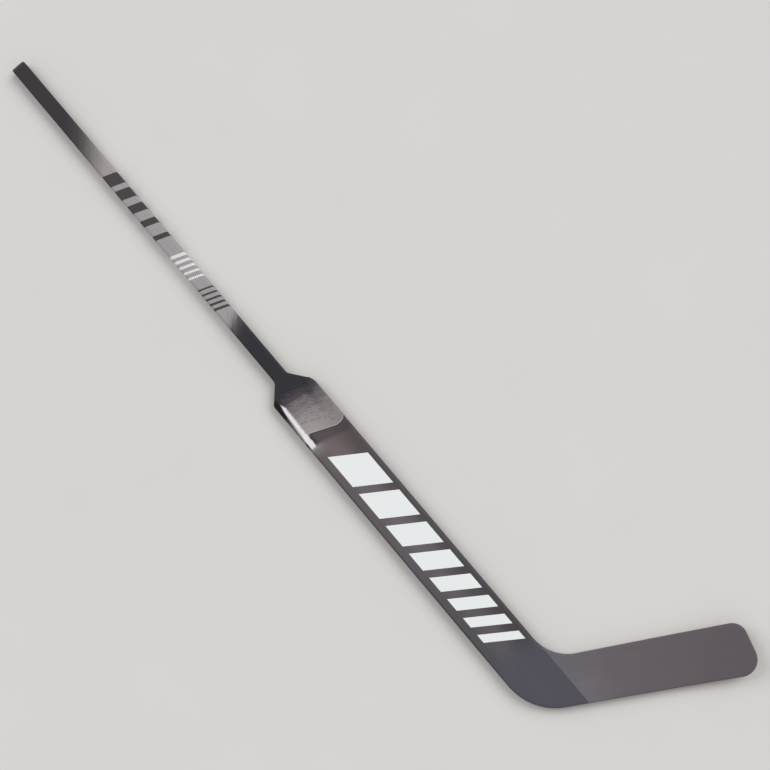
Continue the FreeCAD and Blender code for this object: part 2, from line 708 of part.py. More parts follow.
def blade_slab(name, along, up):
    """A tall slab in the blade's own frame between two distances along and two up."""
    box = doc.addObject("Part::Box", name)
    bind(box, Length=f"({along[1]}) - ({along[0]})", Width=f"({up[1]}) - ({up[0]})", Height=TALL)
    corner = on_blade(along[0], up[0])
    bind(box, Placement=BLADE_FRAME.format(*corner, f"-{TALL} / 2", "0"))
    return box


def make_blade_filling(outline, seam, profile, slot):
    """Foam above and below a web that stands along the middle of the blade."""
    filling = blade_solid("blade_filling", outline, seam, profile, INNER)
    foam = boolean("Cut", "blade_foam", filling, slot)
    half = "web_thick / 2"
    ends = ("0", FAR)
    upper = blade_slab("upper_zone", ends, (f"{BLADE_MIDDLE} + {half}", FAR))
    lower = blade_slab("lower_zone", ends, ("-overrun", f"{BLADE_MIDDLE} - {half}"))
    web_zone = blade_slab("web_zone", (f"{TENON_END} + glue", "blade_length - web_toe_gap"),
                          (f"{BLADE_MIDDLE} - {half}", f"{BLADE_MIDDLE} + {half}"))
    return (boolean("Common", "blade_core_upper", foam, upper),
            boolean("Common", "blade_core_lower", foam, lower),
            boolean("Common", "blade_web", filling, web_zone))


def make_stick():
    """Every piece of the stick, in the order in which it is laid up."""
    outline = stick_outline()
    seam = seam_zone()
    side = BladeSide()
    profile = blade_profile(side)
    slot = tongue("tenon_slot", "glue")
    pieces = [make_shaft(), make_plug()]
    pieces += make_paddle_filling(outline, seam, slot)
    pieces.append(tongue("blade_tenon", "0"))
    pieces += make_blade_filling(outline, seam, profile, slot)
    paddle = paddle_solid("paddle", outline, seam, "0")
    pieces += make_paddle_shells(outline, seam, paddle)
    pieces += make_blade_shells(outline, seam, profile, side)
    pieces.append(make_grip_panel(outline, seam, paddle))
    return pieces


def check(pieces):
    """Stop if any object failed or any piece isn't one sound solid."""
    failed = [o.Name for o in doc.Objects if {"Invalid", "Error"} & set(o.State)]
    if failed:
        raise RuntimeError(f"failed: {failed}")
    for piece in pieces:
        shape = piece.Shape
        if shape.isNull() or not shape.isValid() or len(shape.Solids) != 1:
            raise RuntimeError(f"{piece.Label} isn't one sound solid")


stick = make_stick()
doc.recompute()
check(stick)
os.makedirs("parts", exist_ok=True)
for piece in stick:
    piece.Shape.exportStep(f"parts/{piece.Label}.step")
    print(f"{piece.Label}: {piece.Shape.Volume / 1000:.1f} cm3")
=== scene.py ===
"""Finishes, fine relief and studio for a goalkeeper's ice hockey stick that lies on its back.

Lengths are in metres.  +X runs down the stick from butt to heel, +Y points to the blade's
side and +Z is the face that meets the puck.
"""

import math
from functools import partial

import bpy
from bpy.props import FloatProperty, FloatVectorProperty, IntProperty, PointerProperty
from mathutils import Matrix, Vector


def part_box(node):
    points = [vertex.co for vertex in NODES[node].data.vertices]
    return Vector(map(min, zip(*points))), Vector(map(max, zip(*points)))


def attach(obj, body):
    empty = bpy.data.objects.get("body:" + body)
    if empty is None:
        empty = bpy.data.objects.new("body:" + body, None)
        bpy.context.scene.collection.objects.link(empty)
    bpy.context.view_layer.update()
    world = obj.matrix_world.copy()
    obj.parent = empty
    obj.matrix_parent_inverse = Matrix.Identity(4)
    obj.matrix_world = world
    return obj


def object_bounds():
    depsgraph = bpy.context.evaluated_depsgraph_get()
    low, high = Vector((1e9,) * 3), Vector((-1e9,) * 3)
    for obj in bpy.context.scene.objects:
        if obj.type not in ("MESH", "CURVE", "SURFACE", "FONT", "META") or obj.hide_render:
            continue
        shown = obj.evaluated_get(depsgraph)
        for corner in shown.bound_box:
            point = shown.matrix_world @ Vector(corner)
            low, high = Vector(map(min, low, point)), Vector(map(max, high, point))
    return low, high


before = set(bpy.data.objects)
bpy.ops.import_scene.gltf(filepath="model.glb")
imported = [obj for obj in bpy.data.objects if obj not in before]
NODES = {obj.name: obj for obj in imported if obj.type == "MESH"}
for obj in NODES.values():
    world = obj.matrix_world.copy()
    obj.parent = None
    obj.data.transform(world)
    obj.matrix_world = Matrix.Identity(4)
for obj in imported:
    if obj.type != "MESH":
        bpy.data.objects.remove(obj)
CAD_BOX = [list(corner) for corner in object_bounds()]

bl_info = {
    "name": "Goalie stick finishes",
    "version": (1, 0, 0),
    "blender": (4, 5, 0),
    "location": "3D View > Sidebar > Goalie stick",
    "description": "Lacquers, printed bars, grip ridges and a plain studio for a goalie stick",
    "category": "Object",
}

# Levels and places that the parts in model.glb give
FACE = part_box("paddle_front_shell")[1].z
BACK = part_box("paddle_back_shell")[0].z

# Layout of the blade: its sole leaves the heel's corner at this angle from the shaft
HEEL_CORNER = Vector((0.691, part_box("paddle_front_shell")[0].y, 0))
SOLE_ANGLE = math.radians(60)

# Slant of the grip panel's foot, print and lines, and of the lines on the shaft
PANEL_LEAN = math.radians(20.8)
SHAFT_LEAN = math.radians(26.7)

# The front's finishes end softly over this much of the edge, from its middle up
FRONT_START = (FACE + BACK) / 2
FRONT_SOFT = 0.005

# Painted shade where a face rolls into an edge: how far it still looks up or down, and to a side
ROLL_OVER = (0.72, 0.985)
ROLL_SIDE = 0.5

# Where most values of a noise lie, and how much a satin lacquer shines
NOISE_LOW, NOISE_HIGH = 0.3, 0.7
SATIN = 0.2

# Below, a pair of places is where a change of tone starts and where it ends

# The shaft's fades: how far they lean, and their stages, from the place of the fade itself
FADE_IN = (1.2, {"smoke": (-0.09, -0.035), "warm": (-0.05, 0.05), "silver": (0.03, 0.055)})
FADE_OUT = (0.5, {"ember": (-0.013, 0.013), "shade": (0, 0.034), "neck": (0.032, 0.052)})

# The shaft's bars: ink, start, end, pitch, and the share of it that the first and last one fill
SHAFT_BARS = (("ink", -0.548, -0.37, 0.038, 0.78, 0.22),
              ("white_ink", -0.345, -0.278, 0.0135, 0.52, 0.3),
              ("ink", -0.262, -0.206, 0.0115, 0.3, 0.48))

# The paddle's tones along it, in X
SHOULDER_END = (0.05, 0.09)
# Halo and glow are a painted highlight round the end of the bright strip
HALO_END = (0.097, 0.103)
GLOW_END = (0.1, 0.12)
MIDDLE_TONE = (0.12, 0.2)
LOWER_TONE = (0.29, 0.58)
HEEL_TONE = (0.56, 0.635)
# Where the painted shade on the heel side's round eases to that of the toe side, in X
HEEL_EDGE_PAINTED_SHADE = (0.56, 0.63)
ROOT_TONE = (0.65, 0.74)

# The paddle's tones across it, in Y
# How far the glow's painted highlight reaches in from the heel side
GLOW_SIDE = (-0.03, -0.008)
HEEL_SIDE = (-0.01, -0.036)
TOE_SIDE = (-0.006, 0.034)
ROOT_LINE = (0.0447, 0.0459)

# The band below the panel: its end in X, how far that leans, and its tones in Y
BAND_END = (0.0955, 0.1075)
BAND_LEAN = -0.25
# Beside the leg the band is darker still, as painted shade of the leg's step
BAND_STEP = (-0.0265, -0.0185)
BAND_TOE = (0, 0.03)

# Painted light on the finger bevel: shade on its facet, a highlight on its outer side, a grey
# reflection
# The finger bevel: how its facet looks sideways and up, its line and rim in Y, its grey in X
FACET_SIDE = (-0.4, -0.46)
FACET_UP = 0.8
BEVEL_LINE = (-0.0429, -0.0413)
BEVEL_RIM = (-0.0365, -0.0375)
BEVEL_REFLECTION = (0.018, 0.062)
BEVEL_STOPS = (0.0815, 0.0795)

# The grip's fade down the panel, in X, and between which places in Y it comes how much later
DARK_END = (-0.0174, 0.0057)
PANEL_STAGES = {"grey": (0.0012, 0.0188), "pale": (0.02, 0.0417), "silver": (0.042, 0.0664)}
FADE_SHIFTS = ((0.0107, 0.0241, -0.0092), (0.027, 0.038, 0.008), (-0.024, -0.034, -0.012))
PANEL_TOE_SIDE = (-0.0137, 0.0366)

# The panel's leg, for the painted shade of its step: its inner side in Y, and where it leaves the
# foot in X
LEG_SIDE = -0.0275
LEG_START = 0.0745

# The bright strip is a painted highlight on the panel's leg beside the bevel
# The bright strip: the slope and the Y at X = 0 of the lines that bound it, and its leg's limit
STRIP_LINES = {"tip": (0.31, -0.0303), "side": (-0.03, -0.028), "leg": (0.19, -0.0425),
               "steep": (-0.2, -0.0324), "slow": (-0.048, -0.0347), "wide": (-0.175, -0.0267)}
STRIP_LEG = -0.0294

# The strip's sides, from hard to soft, and where in X they soften, harden and end
STRIP_SIDES = (0.0009, 0.0026)
STRIP_SOFTENS = (-0.004, 0.016)
STRIP_HARDENS = (0.058, 0.07)
STRIP_END = (0.102, 0.0905)

# The blade's tones along the sole, and its root's tone up from the sole
# Along the sole the grey darkens towards the toe as painted shade
BLADE_MIDDLE = (0.09, 0.22)
BLADE_TOE = (0.22, 0.37)
BLADE_ROOT = (0.02, 0.07)

# Raised lines: points along each, the steepest surface they lie on, and the swing's drift in X
PANEL_POINTS, SHAFT_POINTS = 80, 24
PANEL_STEEPEST, SHAFT_STEEPEST = -0.5, -0.8
SWING_DRIFT = 0.6

# What counts as one point and as a sharp edge where a line follows a piece's rim
ONE_POINT = 0.00001
SHARP = math.radians(60)

# Settings that every node of a kind has here, and the one for a change that eases in and out
USUAL = {"ShaderNodeMix": {"data_type": "RGBA"}, "ShaderNodeMapping": {"vector_type": "TEXTURE"}}
EASED = {"interpolation_type": "SMOOTHSTEP"}


def srgb(code):
    """Linear colour of an sRGB hex value."""
    parts = [int(code[i:i + 2], 16) / 255 for i in (0, 2, 4)]
    return tuple(p / 12.92 if p <= 0.04045 else ((p + 0.055) / 1.055) ** 2.4 for p in parts)


def setting(kind, read, **usual):
    """A maker of properties from a name, a description and a default, which is read first."""
    def make(name, description, default):
        return kind(name=name, description=description, default=read(default), **usual)
    return make


# Kinds of settings: a colour, a length, a share of 1, a strength, an angle in degrees, a place
paint = setting(FloatVectorProperty, srgb, subtype="COLOR", size=3, min=0, max=1)
length = setting(FloatProperty, float, subtype="DISTANCE", unit="LENGTH", precision=5)
share = setting(FloatProperty, float, subtype="FACTOR", min=0, max=1)
strength = setting(FloatProperty, float, min=0)
tilt = setting(FloatProperty, math.radians, subtype="ANGLE")
position = setting(FloatVectorProperty, tuple, subtype="TRANSLATION", unit="LENGTH", size=3)


class ShaftPaint(bpy.types.PropertyGroup):
    """Lacquer of the shaft and its plug."""

    dark: paint("Dark end", "Lacquer at the butt", "302d31")
    smoke: paint("Smoke", "First grey of the fade to silver", "423e41")
    warm: paint("Warm silver", "Silver where that fade ends", "a29b99")
    silver: paint("Silver", "Lacquer along the middle", "a39fa0")
    ember: paint("Ember", "Warm grey half way out of the silver", "62595c")
    shade: paint("Shade", "Lacquer where the silver has ended", "302d31")
    neck: paint("Neck", "Lacquer down to the paddle", "29282e")
    ink: paint("Dark ink", "Printed dark bars", "434142")
    white_ink: paint("White ink", "Printed white bars", "e6e3e4")
    plug: paint("Plug", "Moulded butt plug", "343336")
    # Painted shade: the share of the tone left on the narrow sides
    edge: share("Edge", "Share of the tone left on the narrow sides", 0.95)
    # Painted shade: the raised lines take a darker share of the tone
    line: share("Line", "Share of the tone on the raised lines", 0.6)
    fade_in: length("Silver starts", "Middle of the fade from dark to silver", -0.599)
    fade_out: length("Silver ends", "Where the fade from silver to the shade sets in", -0.184)


class PaddlePaint(bpy.types.PropertyGroup):
    """Lacquer of the shoulder, paddle and heel."""

    shoulder: paint("Shoulder", "Lacquer round the neck and shoulder", "29282f")
    # Halo and glow: a painted highlight round the end of the bright strip
    halo: paint("Halo", "Pale grey at the end of the bright strip", "9a9593")
    glow: paint("Glow", "Light grey round that end", "827d7b")
    upper: paint("Upper paddle", "Warm grey below the grip panel", "6d6263")
    middle: paint("Middle", "Grey along the middle", "656064")
    lower: paint("Lower", "Grey towards the heel", "575457")
    heel: paint("Heel", "Cool grey of the heel", "4e4d56")
    mauve: paint("Mauve", "Where the grip's fade starts on the shoulder", "4a434a")
    band: paint("Band", "Dark band below the grip panel", "534a4d")
    band_toe: paint("Band's toe side", "Where that band meets the toe side", "464143")
    # Step: painted shade beside the panel's leg
    step: paint("Step", "That band beside the panel's leg", "3d393a")
    # Bevel: painted shade on its facet, painted highlight on its outer side, painted reflection
    # where it narrows
    bevel: paint("Bevel", "Lacquer on the finger bevel", "0f0f11")
    bevel_edge: paint("Bevel's edge", "Paler line along the bevel's outer side", "18171a")
    bevel_end: paint("Bevel's end", "Grey that the bevel pales to as it narrows", "918c8e")
    heel_side: share("Heel side", "Share of the tone left along the heel side", 0.8)
    toe_side: share("Toe side", "Share of the tone left along the toe side", 0.55)
    # Painted shade: the shares of the tone left on the heel side's and the toe side's round
    heel_edge: share("Heel edge", "Share of the tone left on the heel side's round", 0.55)
    toe_edge: share("Toe edge", "Share of the tone left on the toe side's round", 1.0)


class PanelPaint(bpy.types.PropertyGroup):
    """Print of the grip panel."""

    dark: paint("Dark", "Film at the neck", "2c2a2f")
    mauve: paint("Mauve", "Film where its fade starts", "504850")
    grey: paint("Grey", "Film half way down its fade", "7a7477")
    pale: paint("Pale grey", "Film in the middle of the panel", "938c8e")
    silver: paint("Silver", "Film at the foot", "9e9798")
    # The streak is a painted highlight beside the bevel
    streak: paint("Streak", "Bright strip beside the bevel", "e5e3e4")
    # Step: painted shade on the leg past the foot
    step: paint("Step", "Inner side of the leg past the foot", "413b3d")
    # The line round the foot is pale as a painted highlight on the panel's edge
    line: paint("Line", "Fine line round the foot", "b9b4b4")
    toe_side: paint("Toe side", "Tint over the film along the toe side", "d7d8d6")
    # Painted shade: the raised lines take a darker share of the tone
    ridge: share("Ridge", "Share of the tone on the raised lines", 0.55)


class BladePaint(bpy.types.PropertyGroup):
    """Lacquer of the blade."""

    root: paint("Root", "Warm grey at the seam", "6b666c")
    root_top: paint("Root's top", "The same towards the upper edge", "666167")
    # Middle and toe are darker as painted shade
    middle: paint("Middle", "Half way", "605a5e")
    toe: paint("Toe", "At the toe", "5c565a")
    # Painted shade: the share of the tone left on the rounded edges
    edge: share("Edge", "Share of the tone left on the rounded edges", 1.0)


class RidgeSizes(bpy.types.PropertyGroup):
    """Fine raised lines that give the hands their hold."""

    # The real lines are about 3.5 mm apart; they are drawn wider apart so that they show
    panel_pitch: length("Panel pitch", "From one line to the next on the grip panel", 0.005)
    panel_radius: length("Panel radius", "Radius of a line on the grip panel", 0.001)
    panel_height: length("Panel height", "How far a line stands out of the grip panel", 0.0003)
    panel_start: length("Panel start", "Where the lines start beside the bright strip", -0.0252)
    panel_end: length("Panel end", "Where the last line starts down the panel", 0.058)
    shaft_pitch: length("Shaft pitch", "From one line to the next on the shaft", 0.0042)
    shaft_radius: length("Shaft radius", "Radius of a line on the shaft", 0.001)
    shaft_height: length("Shaft height", "How far a line stands out of the shaft", 0.00016)
    wave_height: length("Wave height", "How far a line swings on the panel", 0.0011)
    wave_length: length("Wave length", "Length of one swing", 0.034)
    gap_length: length("Gap length", "Length of the breaks in a line on the panel", 0.009)
    gaps: share("Gaps", "How much of the panel's first lines is left out", 0.45)
    thinning: strength("Thinning", "What that gains in each metre further on", 1.7)
    line_radius: length("Foot line radius", "Radius of the line round the panel's foot", 0.0007)
    line_start: length("Foot line start", "Where that line starts down the panel", 0.06)


class BarSizes(bpy.types.PropertyGroup):
    """Graduated slanting bars printed on the paddle."""

    count: IntProperty(name="Count", description="Number of bars", default=8, min=2, max=20)
    first: length("First bar", "Length of the bar next to the shoulder", 0.07)
    share: share("Share", "Each bar's length as a share of the one before", 0.82)
    gap: length("Gap", "Room between two bars", 0.0165)
    start: length("Start", "Where the first bar begins on the shaft's line", 0.142)
    low: length("Low edge", "Edge of the bars on the heel side", -0.027)
    high: length("High edge", "Edge of the bars on the toe side", 0.033)
    film: length("Film", "Thickness of the ink", 0.00008)
    lean: tilt("Lean", "How far the bars lean", 34)
    ink: paint("Ink", "Printed bars", "eaeded")


class StudioSettings(bpy.types.PropertyGroup):
    """Floor, lamps and camera."""

    floor: paint("Floor", "Matt board under the stick", "d9d7d4")
    floor_reach: length("Floor's reach", "From the stick to the floor's sides", 20.0)
    floor_gap: length("Floor's gap", "From the solids to the floor, for the raised lines", 0.0002)
    sky: strength("Sky", "Strength of the even light all round", 0.45)
    backdrop: strength("Backdrop", "How pale the sky looks past the floor", 0.66)
    key: strength("Key lamp", "Strength of the stronger lamp", 1.46)
    key_place: position("Key lamp's place", "Where the stronger lamp shines from", (0.4, 2.5, 2.6))
    fill: strength("Fill lamp", "Strength of the lamp opposite", 0.9)
    fill_place: position("Fill lamp's place", "Where it shines from", (-2.6, -1.2, 2.4))
    lamp_width: tilt("Lamp width", "Angle that a lamp fills, for softness", 40)
    camera_place: position("Camera's place", "Where the photograph was taken from",
                           (0.55773, 0.13549, 2.64895))
    camera_turn: FloatVectorProperty(
        name="Camera's turn", description="How the camera is turned there", subtype="EULER",
        unit="ROTATION", size=3, default=[math.radians(a) for a in (7.6328, 6.5491, 49.7829)])
    lens: FloatProperty(name="Lens", description="Focal length", default=70, min=1,
                        unit="CAMERA", subtype="DISTANCE_CAMERA")


class StickSettings(bpy.types.PropertyGroup):
    """Everything that can be set on the stick."""

    shaft: PointerProperty(type=ShaftPaint)
    paddle: PointerProperty(type=PaddlePaint)
    panel: PointerProperty(type=PanelPaint)
    blade: PointerProperty(type=BladePaint)
    ridges: PointerProperty(type=RidgeSizes)
    bars: PointerProperty(type=BarSizes)
    studio: PointerProperty(type=StudioSettings)


def join(tree, node, sockets):
    """Fill a node's sockets; each takes a value, an output or another node's first output."""
    live = [socket for socket in node.inputs if socket.enabled]
    for key, value in sockets.items():
        socket = live[key] if isinstance(key, int) else next(s for s in live if s.name == key)
        if isinstance(value, bpy.types.Node):
            value = next(output for output in value.outputs if output.enabled)
        if isinstance(value, bpy.types.NodeSocket):
            tree.links.new(value, socket)
        elif socket.type == "RGBA":
            socket.default_value = (*value[:3], 1)
        else:
            socket.default_value = value


def add_node(tree, kind, sockets=None, **settings):
    """Add a node with its settings and fill its sockets."""
    made = tree.nodes.new(kind)
    for name, value in {**USUAL.get(kind, {}), **settings}.items():
        setattr(made, name, value)
    join(tree, made, sockets or {})
    return made


def new_object(name, data):
    """An object in the scene."""
    made = bpy.data.objects.new(name, data)
    bpy.context.scene.collection.objects.link(made)
    return made


def new_finish(name):
    """A material, what adds its nodes, and object coordinates with their X and Y."""
    material = bpy.data.materials.new(name)
    material.use_nodes = True
    add = partial(add_node, material.node_tree)
    spot = add("ShaderNodeTexCoord").outputs["Object"]
    axes = add("ShaderNodeSeparateXYZ", {0: spot}).outputs
    return material, add, spot, axes["X"], axes["Y"]


def finished(material, shade, rough, *reliefs, shine=0.5):
    """The material in a shade; a relief is a height, a strength and a depth, over the last one."""
    tree = material.node_tree
    normal = {}
    for height, strong, deep in reliefs:
        normal = {"Normal": add_node(tree, "ShaderNodeBump", {
            "Height": height, "Strength": strong, "Distance": deep, **normal})}
    join(tree, tree.nodes["Principled BSDF"], {
        "Base Color": shade, "Roughness": rough, "Specular IOR Level": shine, **normal})
    return material


def dress(material, *nodes):
    """Give CAD nodes a finish."""
    for name in nodes:
        NODES[name].material_slots[0].material = material


def leaning(add, start, run, lean):
    """A place that moves on with a share of the run, so that what depends on it is slanting."""
    return add("ShaderNodeMath", {0: run, 1: lean, 2: start}, operation="MULTIPLY_ADD")


def clouds(add, spot, long, wide, turn, reach):
    """Soft noise from -reach to reach in clouds that long and wide, turned by an angle from X."""
    laid = add("ShaderNodeMapping", {
        "Vector": spot, "Rotation": (0, 0, turn), "Scale": (long, wide, wide)})
    noise = add("ShaderNodeTexNoise", {"Vector": laid, "Scale": 1, "Detail": 3})
    return add("ShaderNodeMapRange", {
        "Value": noise, 1: NOISE_LOW, 2: NOISE_HIGH, 3: -reach, 4: reach}, clamp=False)


def speckled(add, spot, size, detail, colour, swing):
    """Grain of a size, and a colour that swings with it by a share either way."""
    grain = add("ShaderNodeTexNoise", {"Vector": spot, "Scale": 1 / size, "Detail": detail})
    tone = add("ShaderNodeMapRange", {
        "Value": grain, 1: NOISE_LOW, 2: NOISE_HIGH, 3: 1 - swing, 4: 1 + swing})
    return grain, add("ShaderNodeVectorMath", {0: colour, "Scale": tone}, operation="SCALE")


def toned(add, place, first, *stages):
    """A colour that turns into others along a place; a stage is a colour, a start and an end."""
    tone = first
    for colour, start, end in stages:
        turned = add("ShaderNodeMapRange", {"Value": place, 1: start, 2: end}, **EASED)
        tone = add("ShaderNodeMix", {"Factor": turned, "A": tone, "B": colour})
    return tone


def facing(add):
    """The surface's own direction: how far it looks to the toe side, and how far up or down."""
    normal = add("ShaderNodeTexCoord").outputs["Normal"]
    axes = add("ShaderNodeSeparateXYZ", {0: normal}).outputs
    return axes["Y"], add("ShaderNodeMath", {0: axes["Z"]}, operation="ABSOLUTE")


def rim_shade(add, colour, heel, toe, face=1.0):
    """Painted shade: a share of the colour on the faces, and another where they roll over to either
    side.
    """
    sideways, flat = facing(add)
    side = add("ShaderNodeMapRange", {
        "Value": sideways, 1: -ROLL_SIDE, 2: ROLL_SIDE, 3: heel, 4: toe})
    left = add("ShaderNodeMapRange", {
        "Value": flat, 1: ROLL_OVER[0], 2: ROLL_OVER[1], 3: side, 4: face}, **EASED)
    return add("ShaderNodeVectorMath", {0: colour, "Scale": left}, operation="SCALE")


def on_front(add, spot):
    """Mask of the front, which ends softly on the edge."""
    height = add("ShaderNodeSeparateXYZ", {0: spot}).outputs["Z"]
    return add("ShaderNodeMapRange", {
        "Value": height, 1: FRONT_START, 2: FRONT_START + FRONT_SOFT}, **EASED)


def laid_fibres(material, add, spot, turn, colour):
    """Lacquer over laid fibres: faint streaks along the piece in tone, gloss and relief."""
    # Tows are 1.2 mm wide and show for about 60 mm before they dive under the next
    streaks = add("ShaderNodeMapping", {
        "Vector": spot, "Rotation": (0, 0, turn), "Scale": (0.06, 0.0012, 0.0012)})
    tows, shade = speckled(add, streaks, 1, 2, colour, 0.05)
    # Spray leaves an orange peel of about 3 mm
    peel = add("ShaderNodeTexNoise", {"Vector": spot, "Scale": 1 / 0.003, "Detail": 1})
    rough = add("ShaderNodeMapRange", {
        "Value": peel, 1: NOISE_LOW, 2: NOISE_HIGH, 3: 0.42, 4: 0.52})
    return finished(material, shade, rough, (tows, 0.12, 0.0002), (peel, 0.1, 0.0002), shine=SATIN)


def printed_bars(add, x, y, start, end, pitch, first_share, last_share):
    """Mask of slanting printed bars between two places, whose width eases from first to last."""
    slant = leaning(add, x, y, -math.tan(PANEL_LEAN))
    from_start = add("ShaderNodeMath", {0: slant, 1: start}, operation="SUBTRACT")
    in_pitch = add("ShaderNodeMath", {0: from_start, 1: pitch}, operation="FLOORED_MODULO")
    width = add("ShaderNodeMapRange", {
        "Value": slant, 1: start, 2: end, 3: first_share * pitch, 4: last_share * pitch})
    mask = add("ShaderNodeMath", {0: in_pitch, 1: width}, operation="LESS_THAN")
    for limit, side in ((start, "GREATER_THAN"), (end, "LESS_THAN")):
        within = add("ShaderNodeMath", {0: slant, 1: limit}, operation=side)
        mask = add("ShaderNodeMath", {0: mask, 1: within}, operation="MULTIPLY")
    return mask


def shaft_finish(look, name, face):
    """Satin lacquer sprayed over a carbon tube: dark ends fade to a silver middle with bars."""
    material, add, spot, x, y = new_finish(name)
    # The sprayed fades lean across the shaft and break up along that slant
    drift = clouds(add, spot, 0.03, 0.004, 3 * math.pi / 4, 0.004)
    base = look.dark
    for place, (lean, stages) in ((look.fade_in, FADE_IN), (look.fade_out, FADE_OUT)):
        ragged = add("ShaderNodeMath", {0: leaning(add, x, y, lean), 1: drift}, operation="ADD")
        base = toned(add, ragged, base, *(
            (getattr(look, tone), place + start, place + end)
            for tone, (start, end) in stages.items()))
    for ink, *layout in SHAFT_BARS:
        base = add("ShaderNodeMix", {
            "Factor": printed_bars(add, x, y, *layout), "A": base, "B": getattr(look, ink)})
    # Painted shade on the narrow sides, and the raised lines' darker share on their faces
    edged = rim_shade(add, base, look.edge, look.edge, face)
    return laid_fibres(material, add, spot, 0, edged)


def bevelled(add, spot, x, y, tone, look):
    """The tone, with the finger bevel's dark painted shade paling to a grey painted reflection as
    it narrows.
    """
    sideways, flat = facing(add)
    # Past the facet the grey painted reflection goes on along the rim, and stops short in a small
    # step
    slope, beside, pale, before = (
        add("ShaderNodeMapRange", {"Value": place, 1: start, 2: end})
        for place, (start, end) in (
            (sideways, FACET_SIDE), (y, BEVEL_RIM), (x, BEVEL_REFLECTION), (x, BEVEL_STOPS)))
    upward = add("ShaderNodeMath", {0: flat, 1: FACET_UP}, operation="GREATER_THAN")
    facet = add("ShaderNodeMath", {0: slope, 1: upward}, operation="MULTIPLY")
    rim = add("ShaderNodeMath", {0: beside, 1: pale}, operation="MULTIPLY")
    mask = add("ShaderNodeMath", {0: facet, 1: rim}, operation="MAXIMUM")
    for limit in (before, on_front(add, spot)):
        mask = add("ShaderNodeMath", {0: mask, 1: limit}, operation="MULTIPLY")
    # Dark painted shade on the facet, a paler painted highlight on its outer side, a grey painted
    # reflection
    lacquer = toned(add, y, look.bevel_edge, (look.bevel, *BEVEL_LINE))
    lacquer = add("ShaderNodeMix", {"Factor": pale, "A": lacquer, "B": look.bevel_end})
    return add("ShaderNodeMix", {"Factor": mask, "A": tone, "B": lacquer})


def print_fade(add, spot, x, y):
    """How far down the grip's fade a place is: the fade leans with the print and is broken up."""
    drift = clouds(add, spot, 0.03, 0.005, math.pi / 2 - PANEL_LEAN, 0.005)
    fade = add("ShaderNodeMath", {0: x, 1: drift}, operation="ADD")
    # The dark reaches further down next to the toe side, and beside the strip's point
    for start, end, later in FADE_SHIFTS:
        held = add("ShaderNodeMapRange", {"Value": y, 1: start, 2: end, 4: later}, **EASED)
        fade = add("ShaderNodeMath", {0: fade, 1: held}, operation="ADD")
    return fade


def paddle_finish(look, blade):
    """Satin lacquer over laid carbon skins: warm grey below the grip, cool grey at the heel."""
    material, add, spot, x, y = new_finish("satin_lacquer_on_paddle_skins")
    drift = clouds(add, spot, 0.05, 0.05, 0, 0.006)
    along, across = (add("ShaderNodeMath", {0: axis, 1: drift}, operation="ADD") for axis in (x, y))
    tone = toned(add, along, look.upper, (look.middle, *MIDDLE_TONE), (look.lower, *LOWER_TONE))
    # A painted highlight makes the front paler round the end of the bright strip
    glow = toned(add, x, look.halo, (look.glow, *HALO_END), (tone, *GLOW_END))
    glow = toned(add, across, glow, (tone, *GLOW_SIDE))
    tone = add("ShaderNodeMix", {"Factor": on_front(add, spot), "A": tone, "B": glow})
    # Both sides are darker than the middle
    for (start, end), left in ((HEEL_SIDE, look.heel_side), (TOE_SIDE, look.toe_side)):
        dim = add("ShaderNodeMapRange", {"Value": across, 1: start, 2: end, 3: 1, 4: left}, **EASED)
        tone = add("ShaderNodeVectorMath", {0: tone, "Scale": dim}, operation="SCALE")
    tone = toned(add, along, tone, (look.heel, *HEEL_TONE))
    # The blade's grey starts on a straight line across the heel, just short of the seam
    root = toned(add, x, blade.root_top, (blade.root, *ROOT_TONE))
    tone = toned(add, y, tone, (root, *ROOT_LINE))
    # A dark band lies below the slanting foot of the panel, darkest beside the leg in painted shade
    band = toned(add, y, look.step, (look.band, *BAND_STEP), (look.band_toe, *BAND_TOE))
    tone = toned(add, leaning(add, x, y, BAND_LEAN), band, (tone, *BAND_END))
    # The grip's fade starts on the shoulder, above the panel
    shoulder = toned(add, print_fade(add, spot, x, y), look.shoulder, (look.mauve, *DARK_END))
    tone = toned(add, x, shoulder, (tone, *SHOULDER_END))
    tone = bevelled(add, spot, x, y, tone, look)
    # Painted shade on the rounds, lighter round the heel's arc
    heel_edge = add("ShaderNodeMapRange", {
        "Value": x, 1: HEEL_EDGE_PAINTED_SHADE[0], 2: HEEL_EDGE_PAINTED_SHADE[1], 3: look.heel_edge, 4: look.toe_edge})
    edged = rim_shade(add, tone, heel_edge, look.toe_edge)
    return laid_fibres(material, add, spot, 0, edged)


